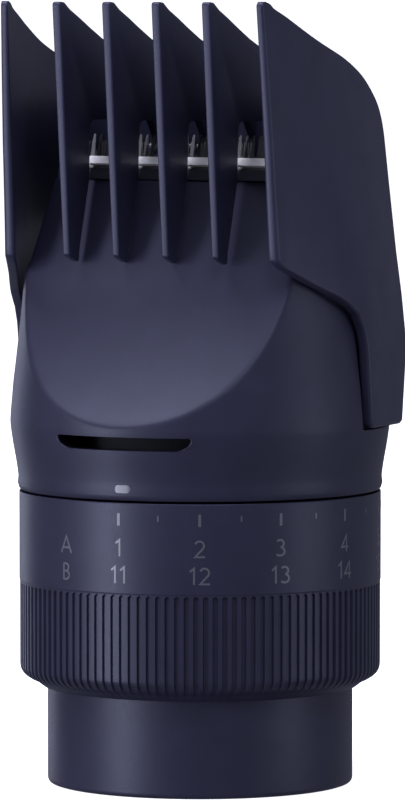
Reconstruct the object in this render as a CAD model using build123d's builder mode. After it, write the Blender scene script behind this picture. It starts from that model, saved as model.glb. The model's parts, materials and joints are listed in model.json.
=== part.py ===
from build123d import *
import math
import os

# Beard trimmer head: a length-setting dial on a plain collar, a scooped housing with a
# short steel blade, and a six-ribbed comb that the dial raises and lowers.
# Millimetres. The origin is the centre of the collar's bottom rim, +Z runs up towards the
# blade, the scoop faces -Y and +X is the right-hand side.

os.makedirs("parts", exist_ok=True)

# ---- driving dimensions -------------------------------------------------------------
collar_r = 19.0
socket_r = 17.0
ledge_z = 8.8
ledge_r = 13.5
collar_top = 14.0
deck_top = 13.0
core_r = 14.0
core_bore = 12.0
core_top = 39.0

dial_r = 22.5
dial_low = 12.1
dial_top = 36.45
knurl_low = 14.8
knurl_top = 25.3
knurl_depth = 0.3
knurl_count = 120
dial_bore = 19.2

dial_turn = 234.0
comb_rise = 9.0
detent_step = 13.0
detent_count = 19

sleeve_in = 17.0
sleeve_low = 14.7
cam_overrun = 4.0
pin_angle = 11.0
pin_r = 1.0
pin_z = 20.0
pin_slot = 2.4

housing_low = 36.75
floor_low = 39.0
floor_top = 41.0
ridge_z = 44.8
ridge_r = 23.6
neck_top = 75.2
tab_flat = 22.0

carrier_in = 14.35
carrier_out = 16.6
arm_start = -6.0
arm_end = 28.0
pad_low = 46.0
pad_high = 50.0

coupling_low = 5.7
coupling_long = 3.5
dog_deep = 2.2
shaft_low = coupling_low + dog_deep
shaft_r = 1.5
bearing_r = 4.0
eccentricity = 1.0
crank_pin_r = 0.8
crank_z = 57.5
blade_stroke = 1.0

blade_y = -10.3
blade_z = 77.06
blade_lean = 14.0
blade_half = 13.9
base_half = 14.3
tooth_pitch = 0.9
tooth_gap = 0.42
tooth_root = 1.05
tooth_tip = 3.9
fixed_thick = 0.5
moving_gap = 0.05
moving_thick = 0.4

rib_x = (-10.05, -3.33, 3.33, 10.05)
rib_thick = 1.0

screw_spots = [(10.6, 90), (10.6, 210), (10.6, 330)]
deck_screw_spots = [(15.5, 30), (15.5, 150), (15.5, 270)]

lean_sin = math.sin(math.radians(blade_lean))
lean_cos = math.cos(math.radians(blade_lean))


def lean(up, out):
    """Y and Z of a point that lies up along the blade's face and out in front of it."""
    return (blade_y + up * lean_sin - out * lean_cos, blade_z + up * lean_cos + out * lean_sin)


def polar(radius, angle, height=0.0):
    """A point on a circle about the object's axis."""
    turn = math.radians(angle)
    return (radius * math.cos(turn), radius * math.sin(turn), height)


def save(built, label):
    """Name a finished piece and write it."""
    built.part.label = label
    export_step(built.part, "parts/" + label + ".step")
    print(label, round(built.part.volume, 1))


# ---- collar and what sits in its socket -----------------------------------------------
with BuildPart() as collar:
    with BuildSketch(Plane.XZ):
        with BuildLine():
            Polyline(
                (socket_r, 0), (collar_r, 0), (collar_r, collar_top), (17.1, collar_top),
                (17.1, 11.0), (ledge_r, 11.0), (ledge_r, ledge_z), (socket_r, ledge_z),
                (socket_r, 8.3), (17.9, 8.3), (17.9, 7.1), (socket_r, 7.1),
                (socket_r, 6.4), (17.7, 6.4), (17.7, 5.4), (socket_r, 5.4), close=True,
            )
        make_face()
    revolve(axis=Axis.Z)
    fillet(collar.edges().group_by(Axis.Z)[0].sort_by(SortBy.RADIUS)[-1], 0.7)
    fillet(collar.edges().group_by(Axis.Z)[0].sort_by(SortBy.RADIUS)[0], 0.4)
    # blind hole for the click spring and ball, in the thick of the wall
    with Locations((*polar(18.05, -60)[:2], collar_top)):
        Hole(0.68, depth=3.6)
    # holes for the deck screws, through the ledge
    for radius, angle in deck_screw_spots:
        with Locations((*polar(radius, angle)[:2], 11.0)):
            Hole(0.8, depth=2.0)
save(collar, "collar")

with BuildPart() as collar_seal:
    with BuildSketch(Plane.XZ):
        with Locations((17.32, 5.9)):
            Circle(0.37)
    revolve(axis=Axis.Z)
save(collar_seal, "collar_seal")

with BuildPart() as latch_ring:
    with BuildSketch(Plane.XY.offset(7.3)):
        Circle(17.75)
        Circle(16.9, mode=Mode.SUBTRACT)
        with PolarLocations(16.2, 3, start_angle=60):
            Rectangle(1.8, 6.0)
    extrude(amount=0.8)
save(latch_ring, "latch_ring")

with BuildPart() as click_spring:
    with BuildSketch(Plane.XY.offset(10.5)):
        with Locations(polar(18.05, -60)[:2]):
            Circle(0.5)
            Circle(0.28, mode=Mode.SUBTRACT)
    extrude(amount=2.5)
save(click_spring, "click_spring")

with BuildPart() as click_ball:
    with Locations(polar(18.05, -60, sleeve_low - 0.65)):
        Sphere(0.6)
save(click_ball, "click_ball")

with BuildPart() as wear_washer:
    with BuildSketch(Plane.XY.offset(collar_top)):
        Circle(18.9)
        Circle(17.2, mode=Mode.SUBTRACT)
        with Locations(polar(18.05, -60)[:2]):
            Circle(0.72, mode=Mode.SUBTRACT)
    extrude(amount=0.5)
save(wear_washer, "wear_washer")

# ---- chassis: deck, core tube and the bearing boss ---------------------------------------
with BuildPart() as chassis:
    with BuildSketch(Plane.XZ):
        with BuildLine():
            Polyline(
                (6.0, 9.6), (6.0, 11.0), (17.0, 11.0), (17.0, deck_top), (core_r, deck_top),
                (core_r, core_top), (core_bore, core_top), (core_bore, deck_top + 1.5),
                (6.0, deck_top + 1.5), (6.0, 16.0), (bearing_r, 16.0), (bearing_r, 12.6),
                (2.2, 12.6), (2.2, 12.0), (bearing_r, 12.0), (bearing_r, 9.6), close=True,
            )
        make_face()
    revolve(axis=Axis.Z)
    # three screw pillars inside the core tube
    with BuildSketch(Plane.XY.offset(deck_top)):
        for radius, angle in screw_spots:
            with Locations(polar(radius, angle)[:2]):
                Circle(1.9)
    extrude(amount=core_top - deck_top)
    for radius, angle in screw_spots:
        with Locations((*polar(radius, angle)[:2], core_top)):
            Hole(0.8, depth=9.0)
    # screw holes in the deck
    for radius, angle in deck_screw_spots:
        with Locations((*polar(radius, angle)[:2], deck_top)):
            Hole(1.1, depth=2.0)
save(chassis, "chassis")

with BuildPart() as deck_screws:
    for radius, angle in deck_screw_spots:
        spot = polar(radius, angle)[:2]
        with BuildSketch(Plane.XY.offset(9.2)):
            with Locations(spot):
                Circle(0.8)
        extrude(amount=deck_top - 9.2)
        with BuildSketch(Plane.XY.offset(deck_top)):
            with Locations(spot):
                Circle(1.4)
                RegularPolygon(0.6, 6, mode=Mode.SUBTRACT)
        extrude(amount=1.1)
save(deck_screws, "deck_screws")

with BuildPart() as shaft_seal:
    with BuildSketch(Plane.XZ):
        with BuildLine():
            Polyline(
                (1.55, 10.7), (bearing_r, 10.7), (bearing_r, 11.9), (2.6, 11.9), (2.6, 11.3),
                (1.55, 11.3), close=True,
            )
        make_face()
    revolve(axis=Axis.Z)
save(shaft_seal, "shaft_seal")

with BuildPart() as lower_bearing:
    with BuildSketch(Plane.XY.offset(12.6)):
        Circle(bearing_r)
        Circle(shaft_r + 0.03, mode=Mode.SUBTRACT)
    extrude(amount=3.0)
    chamfer(lower_bearing.edges().group_by(Axis.Z)[-1], 0.2)
save(lower_bearing, "lower_bearing")

# ---- drive line up the middle --------------------------------------------------------------

with BuildPart() as drive_coupling:
    with BuildSketch(Plane.XY.offset(coupling_low)):
        Circle(3.6)
    extrude(amount=coupling_long)
    fillet(drive_coupling.edges().group_by(Axis.Z)[0], 0.5)
    # cross-shaped socket for the driving dog, open downward
    with BuildSketch(Plane.XY.offset(coupling_low)):
        Rectangle(4.8, 1.5)
        Rectangle(1.5, 4.8)
    extrude(amount=dog_deep, mode=Mode.SUBTRACT)
    with BuildSketch(Plane.XY.offset(shaft_low)):
        Circle(shaft_r)
    extrude(amount=coupling_long - dog_deep, mode=Mode.SUBTRACT)
save(drive_coupling, "drive_coupling")

with BuildPart() as drive_shaft:
    with BuildSketch(Plane.XY.offset(shaft_low)):
        Circle(shaft_r)
    extrude(amount=crank_z - shaft_low)
    chamfer(drive_shaft.edges().group_by(Axis.Z)[0], 0.25)
    # groove for the retaining clip
    with BuildSketch(Plane.XY.offset(54.8)):
        Circle(shaft_r)
        Circle(1.15, mode=Mode.SUBTRACT)
    extrude(amount=0.5, mode=Mode.SUBTRACT)
save(drive_shaft, "drive_shaft")

with BuildPart() as coupling_spring:
    with BuildLine():
        coil = Helix(pitch=0.42, height=0.84, radius=2.1, center=(0, 0, coupling_low + coupling_long + 0.2))
    with BuildSketch(Plane(origin=coil @ 0, z_dir=coil % 0)):
        Circle(0.16)
    sweep(path=coil, is_frenet=True)
save(coupling_spring, "coupling_spring")

with BuildPart() as retaining_clip:
    with BuildSketch(Plane.XY.offset(54.82)):
        Circle(2.6)
        Circle(1.15, mode=Mode.SUBTRACT)
        with Locations((0, 2.0)):
            Rectangle(2.0, 4.0, mode=Mode.SUBTRACT)
    extrude(amount=0.46)
save(retaining_clip, "retaining_clip")

with BuildPart() as eccentric:
    with BuildSketch(Plane.XY.offset(55.8)):
        Circle(4.0)
        Circle(shaft_r, mode=Mode.SUBTRACT)
    extrude(amount=1.7)
    with BuildSketch(Plane.XY.offset(crank_z)):
        Circle(4.0)
    extrude(amount=0.3)
    # balance cut opposite the crank pin
    with BuildSketch(Plane.XY.offset(55.8)):
        with Locations((0, -3.6)):
            Circle(1.5)
    extrude(amount=1.2, mode=Mode.SUBTRACT)
    with BuildSketch(Plane.XY.offset(crank_z)):
        with Locations((0, -eccentricity)):
            Circle(crank_pin_r)
    extrude(amount=3.9)
    fillet(eccentric.edges().group_by(Axis.Z)[-1], 0.25)
save(eccentric, "eccentric")

# ---- dial ring and the cam sleeve inside it -----------------------------------------------
groove_width = math.radians(360 / knurl_count) * dial_r * 0.5
with BuildSketch(Plane.XZ.offset(dial_r + 1)) as groove:
    with Locations((0, (knurl_low + knurl_top) / 2 - 0.2)):
        SlotCenterToCenter(knurl_top - knurl_low - groove_width, groove_width, rotation=90)
groove_cutter = extrude(groove.sketch, -1.15 - knurl_depth)

with BuildPart() as dial_ring:
    with BuildSketch(Plane.XZ):
        with BuildLine():
            Polyline(
                (collar_r + 0.3, dial_low), (collar_r + 0.5, dial_low), (21.7, 13.1),
                (22.1, 13.5), (22.35, 14.2), (22.35, knurl_top), (dial_r, knurl_top + 0.15),
                (dial_r, dial_top - 0.25), (dial_r - 0.25, dial_top), (dial_bore, dial_top),
                (dial_bore, sleeve_low), (collar_r + 0.3, sleeve_low), close=True,
            )
        make_face()
    revolve(axis=Axis.Z)
    # grip grooves around the lower band, straight sides and round upper ends
    with PolarLocations(0, knurl_count):
        add(groove_cutter, mode=Mode.SUBTRACT)
save(dial_ring, "dial_ring")

# the middle line of the cam slots, which run on a little past both ends of the dial's turn
lead = comb_rise * 360 / dial_turn
overrun_rise = cam_overrun * comb_rise / dial_turn
helix = Helix(pitch=lead, height=comb_rise + 2 * overrun_rise, radius=(sleeve_in + dial_bore) / 2)

with BuildPart() as cam_sleeve:
    with BuildSketch(Plane.XY.offset(sleeve_low)):
        Circle(dial_bore)
        Circle(sleeve_in, mode=Mode.SUBTRACT)
    extrude(amount=dial_top - 0.2 - sleeve_low)
    # two helical slots, half a turn apart, that lift the carrier's pins
    for start in (pin_angle, pin_angle + 180):
        track = Pos(0, 0, pin_z - overrun_rise) * Rot(0, 0, start - cam_overrun) * helix
        outward = (track @ 0) - Vector(0, 0, (track @ 0).Z)
        with BuildSketch(Plane(origin=track @ 0, x_dir=outward, z_dir=track % 0)):
            Rectangle(4.0, pin_slot)
        sweep(path=track, is_frenet=True, mode=Mode.SUBTRACT)
        # round clearance at both ends of the slot
        for turn, rise in ((0, 0), (dial_turn, comb_rise)):
            with BuildSketch(Plane(origin=(0, 0, pin_z + rise), z_dir=polar(1, start + turn))):
                Circle(pin_slot / 2)
            extrude(amount=20, mode=Mode.SUBTRACT)
    # click pockets under the sleeve, one each half millimetre of comb travel
    for step in range(detent_count):
        with Locations(polar(18.05, -60 + step * detent_step, sleeve_low - 0.35)):
            Sphere(0.6, mode=Mode.SUBTRACT)
save(cam_sleeve, "cam_sleeve")

# ---- comb carrier: ring, two arms and the pads that hold the comb ---------------------------
arm_mid = (arm_start + arm_end) / 2


def arc_strip(inner, outer, half_angle, low, high):
    """Part of a ring about the axis, centred on +X and reaching half_angle to each side."""
    reach = math.tan(math.radians(half_angle)) * 30
    wedge = make_face(Polyline((0, 0), (30, -reach), (30, reach), close=True))
    return Pos(0, 0, low) * extrude((wedge & Circle(outer)) - Circle(inner), high - low)


arm_half = (arm_end - arm_start) / 2
arm = arc_strip(carrier_in + 0.15, carrier_out - 0.15, arm_half, 23.0, pad_high)
arm_slot = arc_strip(carrier_in - 0.1, carrier_out + 0.25, arm_half + 2.5, floor_low - 1, floor_top + 1)

with BuildPart() as comb_carrier:
    with BuildSketch(Plane.XY.offset(17.0)):
        Circle(carrier_out)
        Circle(carrier_in, mode=Mode.SUBTRACT)
    extrude(amount=6.0)
    for turn in (arm_mid, 180 - arm_mid):
        with Locations(Rotation(0, 0, turn)):
            add(arm)
    # pads reach out through the housing's side windows
    for side in (-1, 1):
        with BuildSketch(Plane.XY.offset(pad_low)):
            with Locations((side * 19.05, 3.0)):
                Rectangle(8.1, 5.6)
        extrude(amount=pad_high - pad_low)
    # holes for the two follower pins
    for turn in (pin_angle, pin_angle + 180):
        with BuildSketch(Plane(origin=(0, 0, pin_z), z_dir=polar(1, turn))):
            Circle(pin_r)
        extrude(amount=20, mode=Mode.SUBTRACT)
save(comb_carrier, "comb_carrier")

with BuildPart() as carrier_pins:
    for turn in (pin_angle, pin_angle + 180):
        with BuildSketch(Plane(origin=polar(14.5, turn, pin_z), z_dir=polar(1, turn))):
            Circle(pin_r)
        extrude(amount=4.4)
save(carrier_pins, "carrier_pins")

# ---- housing --------------------------------------------------------------------------------
# cutters that shape it: each is also used, moved in by the wall, to shape the hollow inside
wall = 1.7
cut_top = neck_top + 1.2
with BuildSketch(Plane.YZ) as scoop:
    with BuildLine():
        Spline((-23.9, 45.2), (-22.0, 47.9), (-18.6, 53.6), (-15.7, 60.0), (-13.9, 66.0))
        Line((-13.9, 66.0), (-10.7, cut_top))
        Line((-10.7, cut_top), (-45, cut_top))
        Line((-45, cut_top), (-45, 45.2))
        Line((-45, 45.2), (-23.9, 45.2))
    make_face()
with BuildSketch(Plane.YZ) as back_slope:
    with BuildLine():
        Line((30, 52.0), (22.0, 52.0))
        Spline((22.0, 52.0), (15.5, 56.6), (9.5, 62.0), (5.4, 68.0), (-1.2, cut_top))
        Line((-1.2, cut_top), (30, cut_top))
        Line((30, cut_top), (30, 52.0))
    make_face()
with BuildSketch(Plane.XZ) as shoulder:
    with BuildLine():
        Polyline(
            (30, 58.5), (22.6, 58.5), (17.6, 65.0), (15.2, cut_top), (30, cut_top), close=True,
        )
    make_face()


def scoop_solid(profile):
    """The scoop's profile swept round a far vertical axis, so that it also bulges across."""
    return Pos(0, 57, 0) * Rot(0, 0, -40) * revolve(Pos(0, -57, 0) * profile, Axis.Z, 80)


def across(profile):
    """A profile extruded both ways, right across the housing."""
    return extrude(profile, 30, both=True)


def housing_cutters(scoop_shift, back_shift, shoulder_shift):
    """Scoop, back slope and both shoulders, each moved inwards by its own small shift."""
    front = scoop_solid(Pos(scoop_shift) * scoop.sketch)
    one_side = across(Pos(shoulder_shift) * shoulder.sketch)
    return [front, across(Pos(back_shift) * back_slope.sketch), one_side, mirror(one_side, Plane.YZ)]


with BuildSketch(Plane.XZ) as barrel_inside:
    with BuildLine():
        Polyline((0, floor_top), (21.3, floor_top), (21.7, ridge_z), (20.7, 57.0), (18.8, neck_top))
        Polyline((18.8, neck_top), (18.8, neck_top + 3), (0, neck_top + 3), (0, floor_top))
    make_face()
hollow = revolve(barrel_inside.sketch, Axis.Z) & Box(2 * (tab_flat - wall), 60, 200)
for cutter in housing_cutters((0, 1.55, -0.7), (0, -1.2, -1.2), (-1.55, 0, -0.75)):
    hollow = hollow - cutter
skin_cutters = housing_cutters((0, 0, 0), (0, 0, 0), (0, 0, 0))

with BuildPart() as housing:
    # outer skin, a barrel with its widest line a little above the dial
    with BuildSketch(Plane.XZ):
        with BuildLine():
            Line((0, housing_low), (22.3, housing_low))
            Line((22.3, housing_low), (22.5, housing_low + 0.25))
            Spline(
                (22.5, housing_low + 0.25), (23.1, 41.0), (ridge_r, ridge_z), (23.25, 50.0),
                (22.45, 57.0), (21.8, 63.0), (20.4, neck_top),
            )
            Line((20.4, neck_top), (0, neck_top))
            Line((0, neck_top), (0, housing_low))
        make_face()
    revolve(axis=Axis.Z)
    # front scoop, sloping back, and shoulders that step in under the comb's side plates
    for cutter in skin_cutters:
        add(cutter, mode=Mode.SUBTRACT)
    for side in (-1, 1):
        # flat pocket for the comb's side tab
        with BuildSketch(Plane.XY.offset(ridge_z - 0.15)):
            with Locations((side * (tab_flat + 2), 3.3)):
                Rectangle(4, 12.4)
        extrude(amount=20, mode=Mode.SUBTRACT)
    add(hollow, mode=Mode.SUBTRACT)
    # skirt recess below the floor and the hole in the floor for the drive tower
    with BuildSketch(Plane.XY.offset(housing_low - 1)):
        Circle(20.6)
    extrude(amount=floor_low - housing_low + 1, mode=Mode.SUBTRACT)
    with Locations((0, 0, floor_top)):
        Hole(8.0, depth=5)
    # arc slots in the floor for the carrier's arms
    for turn in (arm_mid, 180 - arm_mid):
        with Locations(Rotation(0, 0, turn)):
            add(arm_slot, mode=Mode.SUBTRACT)
    # side windows for the carrier's pads
    for side in (-1, 1):
        with BuildSketch(Plane.XY.offset(pad_low - 0.4)):
            with Locations((side * 21, 3.0)):
                Rectangle(8, 6.2)
        extrude(amount=pad_high - pad_low + comb_rise + 0.8, mode=Mode.SUBTRACT)
    # screw holes in the floor
    for radius, angle in screw_spots:
        with Locations((*polar(radius, angle)[:2], floor_top)):
            Hole(0.9, depth=3)
    # rinse slot across the front, following the barrel
    with BuildSketch(Plane.XZ.offset(17)):
        with BuildLine():
            Polyline((-9.0, 44.4), (9.0, 44.4), (8.2, 42.9), (-8.2, 42.9), close=True)
        make_face()
    extrude(amount=10, mode=Mode.SUBTRACT)
save(housing, "housing")

with BuildPart() as housing_screws:
    for radius, angle in screw_spots:
        spot = polar(radius, angle)[:2]
        with BuildSketch(Plane.XY.offset(31.5)):
            with Locations(spot):
                Circle(0.8)
        extrude(amount=11.1)
        with BuildSketch(Plane.XY.offset(42.6)):
            with Locations(spot):
                Circle(1.5)
                RegularPolygon(0.6, 6, mode=Mode.SUBTRACT)
        extrude(amount=1.1)
save(housing_screws, "housing_screws")

with BuildPart() as shaft_tower:
    with BuildSketch(Plane.XZ):
        with BuildLine():
            Polyline(
                (5.4, floor_top), (13.6, floor_top), (13.6, 42.6), (7.0, 42.6), (7.0, 54.4),
                (bearing_r, 54.4), (bearing_r, 51.8), (2.4, 51.8), (2.4, 50.4), (5.4, 50.4), close=True,
            )
        make_face()
    revolve(axis=Axis.Z)
    for radius, angle in screw_spots:
        with Locations((*polar(radius, angle)[:2], 42.6)):
            Hole(0.85, depth=2)
save(shaft_tower, "shaft_tower")

with BuildPart() as upper_bearing:
    with BuildSketch(Plane.XY.offset(51.8)):
        Circle(bearing_r)
        Circle(shaft_r + 0.03, mode=Mode.SUBTRACT)
    extrude(amount=2.6)
    chamfer(upper_bearing.edges().group_by(Axis.Z)[-1], 0.2)
save(upper_bearing, "upper_bearing")

# ---- blade set ----------------------------------------------------------------------------------
with BuildPart() as blade_base:
    # flange on the housing's top edge, with a thin lip in front of the blade
    lip_low = lean(-1.81, 0.22)
    lip_high = lean(-0.49, 0.22)
    lip_back = lean(-0.52, 0.02)
    lip_foot = lean(-1.19, 0.02)
    with BuildSketch(Plane.YZ.offset(-base_half)):
        with BuildLine():
            Polyline(
                lip_low, lip_high, lip_back, (lip_foot[0], 75.9), (-2.9, 75.9),
                (-2.9, 75.3), close=True,
            )
        make_face()
    extrude(amount=2 * base_half)
    # plug that drops into the neck
    with BuildSketch(Plane.XY.offset(72.8)):
        with Locations((0, -6.1)):
            RectangleRounded(25.4, 4.2, 1.0)
    extrude(amount=2.7)
    # opening for the yoke
    with BuildSketch(Plane.XY.offset(72)):
        with Locations((0, -6.0)):
            Rectangle(11.4, 4.0)
    extrude(amount=5, mode=Mode.SUBTRACT)
    # holes for the blade screws
    for side in (-1, 1):
        with Locations((side * 12.2, -6.2, 75.9)):
            Hole(0.8, depth=2.8)
save(blade_base, "blade_base")

with BuildPart() as fixed_blade:
    # folded plate: upright toothed face and a foot that is screwed down
    front_low = lean(-1.19, 0)
    front_high = lean(tooth_tip, 0)
    back_high = lean(tooth_tip, -0.22)
    back_root = lean(tooth_root, -fixed_thick)
    back_low = lean(-0.68, -fixed_thick)
    with BuildSketch(Plane.YZ.offset(-blade_half)):
        with BuildLine():
            Polyline(
                (front_low[0], 75.9), front_high, back_high, back_root, back_low,
                (-4.4, 76.4), (-4.4, 75.9), close=True,
            )
        make_face()
    extrude(amount=2 * blade_half)
    # tooth gaps with rounded roots
    tooth_plane = Plane(origin=(0, blade_y, blade_z), x_dir=(1, 0, 0), z_dir=(0, -lean_cos, lean_sin))
    tooth_count = int(2 * (blade_half - 1) / tooth_pitch)
    with BuildSketch(tooth_plane.offset(2)):
        with Locations((0, tooth_root + 3)):
            with GridLocations(tooth_pitch, 1, tooth_count, 1):
                SlotOverall(6, tooth_gap, rotation=90)
    extrude(amount=-5, mode=Mode.SUBTRACT)
    # opening in the foot for the yoke, and the screw holes
    with BuildSketch(Plane.XY.offset(75)):
        with Locations((0, -6.0)):
            Rectangle(11.4, 4.0)
    extrude(amount=2.2, mode=Mode.SUBTRACT)
    for side in (-1, 1):
        with Locations((side * 12.2, -6.2, 76.4)):
            Hole(0.85, depth=1)
save(fixed_blade, "fixed_blade")

with BuildPart() as blade_screws:
    for side in (-1, 1):
        spot = (side * 12.2, -6.2)
        with BuildSketch(Plane.XY.offset(73.3)):
            with Locations(spot):
                Circle(0.8)
        extrude(amount=3.1)
        with BuildSketch(Plane.XY.offset(76.4)):
            with Locations(spot):
                Circle(1.4)
                Rectangle(2.0, 0.45, mode=Mode.SUBTRACT)
        extrude(amount=0.7)
save(blade_screws, "blade_screws")

moving_front = fixed_thick + moving_gap
moving_half = 11.9
with BuildPart() as moving_blade:
    moving_plane = tooth_plane.offset(-moving_front)
    with BuildSketch(moving_plane):
        with Locations((0, 1.6)):
            Rectangle(2 * moving_half, 3.0)
        with Locations((0, 3.35)):
            with GridLocations(1.35, 1, 17, 1):
                SlotOverall(4.0, 0.65, rotation=90, mode=Mode.SUBTRACT)
    extrude(amount=-moving_thick)
save(moving_blade, "moving_blade")

with BuildPart() as blade_yoke:
    # head that holds the moving blade from behind
    with BuildSketch(tooth_plane.offset(-moving_front - moving_thick)):
        with Locations((0, 0.75)):
            Rectangle(9.0, 1.3)
    extrude(amount=-1.6)
    yoke_head = lean(0.3, -moving_front - moving_thick - 0.6)
    # arm down through the neck to the crank
    with BuildSketch(Plane.YZ.offset(-3.6)):
        with BuildLine():
            Polyline(
                (yoke_head[0], 77.2), (yoke_head[0], 78.0), (-6.6, 78.0), (-5.0, 76.4), (-5.0, 60.8),
                (-6.6, 60.8), (-6.6, 76.8), (-7.0, 77.2), close=True,
            )
        make_face()
    extrude(amount=7.2)
    # forked foot with a slot for the crank pin
    with BuildSketch(Plane.XY.offset(58.4)):
        with Locations((0, -1.2)):
            RectangleRounded(9.2, 10.8, 0.8)
        Rectangle(2 * (crank_pin_r + eccentricity + blade_stroke + 0.25), 4.4, mode=Mode.SUBTRACT)
    extrude(amount=2.4)
save(blade_yoke, "blade_yoke")

with BuildPart() as blade_spring:
    # bent wire spring that presses the yoke forward
    with BuildLine() as wire:
        FilletPolyline(
            (-9.5, -4.6, 76.75), (-9.5, -5.6, 76.75), (-6.4, -5.6, 79.3), (6.4, -5.6, 79.3),
            (9.5, -5.6, 76.75), (9.5, -4.6, 76.75), radius=0.4,
        )
    with BuildSketch(Plane(origin=wire.wires()[0] @ 0, z_dir=wire.wires()[0] % 0)):
        Circle(0.25)
    sweep(path=wire.wires()[0])
save(blade_spring, "blade_spring")

# ---- comb ---------------------------------------------------------------------------------------
# plan of a side plate's outer face at four heights: X at each of the listed Y values
plate_y = (-19.9, -17.2, -13.2, -10.2, -6.2, -2.6, 2.0, 10.0)
plate_levels = [
    (98.0, (17.6, 18.1, 18.7, 19.0, 19.3, 19.4, 19.3, 18.9), 0.95),
    (80.0, (18.0, 18.4, 19.1, 19.6, 20.1, 20.4, 20.6, 20.5), 1.2),
    (57.0, (18.2, 18.5, 20.1, 21.6, 23.2, 24.0, 24.2, 23.3), 1.5),
    (44.0, (18.2, 18.5, 20.1, 21.6, 23.2, 24.0, 24.2, 23.3), 1.5),
]
front_top = (-19.9, 97.2)
rib_outline_top = [(-17.6, 96.5), (-12.3, 94.3), (-6.7, 92.1), (-0.2, 90.0), (4.0, 88.2), (7.0, 86.2),
                   (8.9, 84.3), (9.8, 82.4), (10.2, 80.3)]

sections = []
for height, outer_x, thickness in plate_levels:
    outer_points = [(x, y) for x, y in zip(outer_x, plate_y)]
    inner_points = [(x - thickness, y) for x, y in zip(outer_x, plate_y)]
    outer_edge = Spline(*outer_points)
    inner_edge = Spline(*inner_points)
    ends = [Line(outer_points[0], inner_points[0]), Line(outer_points[-1], inner_points[-1])]
    sections.append(Pos(0, 0, height) * make_face([outer_edge, inner_edge, *ends]))
plate_wall = loft(sections[:3]) + loft(sections[2:])

# the same plate seen from the side, and the thin inner rib
with BuildSketch(Plane.YZ.offset(10)) as plate_side:
    with BuildLine():
        Line((-17.2, 66.1), front_top)
        Line(front_top, rib_outline_top[0])
        Spline(*rib_outline_top)
        Line((10.2, 80.3), (8.7, 57.0))
        Line((8.7, 57.0), (7.9, 45.4))
        Line((7.9, 45.4), (7.3, 44.9))
        Line((7.3, 44.9), (-1.0, 44.9))
        Line((-1.0, 44.9), (-1.6, 45.5))
        Line((-1.6, 45.5), (-2.6, 57.0))
        Spline((-2.6, 57.0), (-3.0, 58.9), (-4.5, 60.2), (-6.2, 61.2), (-10.2, 62.7), (-15.8, 65.2))
        Line((-15.8, 65.2), (-17.2, 66.1))
    make_face()
side_plate = plate_wall & extrude(plate_side.sketch, 20)

with BuildSketch(Plane.YZ) as rib_side:
    with BuildLine():
        Line((-17.1, 66.1), front_top)
        Line(front_top, rib_outline_top[0])
        Spline(*rib_outline_top)
        Line((10.2, 80.3), (9.4, 68.0))
        Line((9.4, 68.0), (8.4, 68.0))
        Line((8.4, 68.0), (8.0, 80.0))
        Line((8.0, 80.0), (6.0, 82.5))
        Line((6.0, 82.5), (-11.4, 82.5))
        Line((-11.4, 82.5), (-11.5, 75.4))
        Line((-11.5, 75.4), (-14.25, 66.6))
        Line((-14.25, 66.6), (-14.3, 65.1))
        Line((-14.3, 65.1), (-17.1, 66.1))
    make_face()
rib = extrude(rib_side.sketch, rib_thick)

with BuildPart() as comb:
    add(side_plate)
    mirror(about=Plane.YZ)
    for x in rib_x:
        with Locations((x - rib_thick / 2, 0, 0)):
            add(rib)
    # cross bar behind the blade, from side plate to side plate
    with BuildSketch(Plane.YZ.offset(-19.8)):
        with BuildLine():
            Line((8.4, 68.0), (9.4, 68.0))
            Line((9.4, 68.0), (10.2, 80.3))
            Line((10.2, 80.3), (9.8, 82.4))
            Line((9.8, 82.4), (8.4, 84.6))
            Line((8.4, 84.6), (8.4, 68.0))
        make_face()
    extrude(amount=39.6)
    # recess in each tab for the carrier's pad, with a shoulder that rests on it
    for side in (-1, 1):
        with BuildSketch(Plane.XY.offset(pad_high)):
            with Locations((side * 22.8, 3.0)):
                Rectangle(1.2, 6.0)
        extrude(amount=3.0)
        with BuildSketch(Plane.XY.offset(44)):
            with Locations((side * 21.9, 3.0)):
                Rectangle(2.7, 6.4)
        extrude(amount=pad_high + 0.05 - 44, mode=Mode.SUBTRACT)
save(comb, "comb")
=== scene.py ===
import json
import math

import bmesh
import bpy
import numpy as np
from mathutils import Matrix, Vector


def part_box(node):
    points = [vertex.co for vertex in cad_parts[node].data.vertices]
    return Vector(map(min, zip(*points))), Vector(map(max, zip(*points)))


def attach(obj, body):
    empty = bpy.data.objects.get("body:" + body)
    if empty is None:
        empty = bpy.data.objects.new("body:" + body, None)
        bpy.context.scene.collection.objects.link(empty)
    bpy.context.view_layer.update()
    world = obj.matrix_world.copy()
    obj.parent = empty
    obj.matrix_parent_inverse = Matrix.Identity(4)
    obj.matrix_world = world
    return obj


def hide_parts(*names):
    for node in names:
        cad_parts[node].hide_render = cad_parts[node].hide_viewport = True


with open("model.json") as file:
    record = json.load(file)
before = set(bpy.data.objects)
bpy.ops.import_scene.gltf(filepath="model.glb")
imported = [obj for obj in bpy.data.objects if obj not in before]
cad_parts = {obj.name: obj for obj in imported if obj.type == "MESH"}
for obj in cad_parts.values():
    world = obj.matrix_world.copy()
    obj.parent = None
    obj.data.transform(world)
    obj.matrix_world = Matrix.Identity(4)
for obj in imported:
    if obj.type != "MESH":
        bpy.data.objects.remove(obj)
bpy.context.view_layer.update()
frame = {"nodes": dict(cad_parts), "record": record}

# Every shape below is worked out in millimetres and scaled to metres once, in new_mesh().
MM = 0.001
_, collar_high = [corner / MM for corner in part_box("collar")]
dial_low, dial_high = [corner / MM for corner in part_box("dial_ring")]
housing_low, housing_high = [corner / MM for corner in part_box("housing")]
comb_low, comb_high = [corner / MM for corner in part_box("comb")]
COLLAR_R = collar_high[0]
COLLAR_TOP = collar_high[2]
DIAL_R = dial_high[0]
DIAL_TOP = dial_high[2]
NECK_TOP = housing_high[2]
SKIRT_LOW = housing_low[2]


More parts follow.
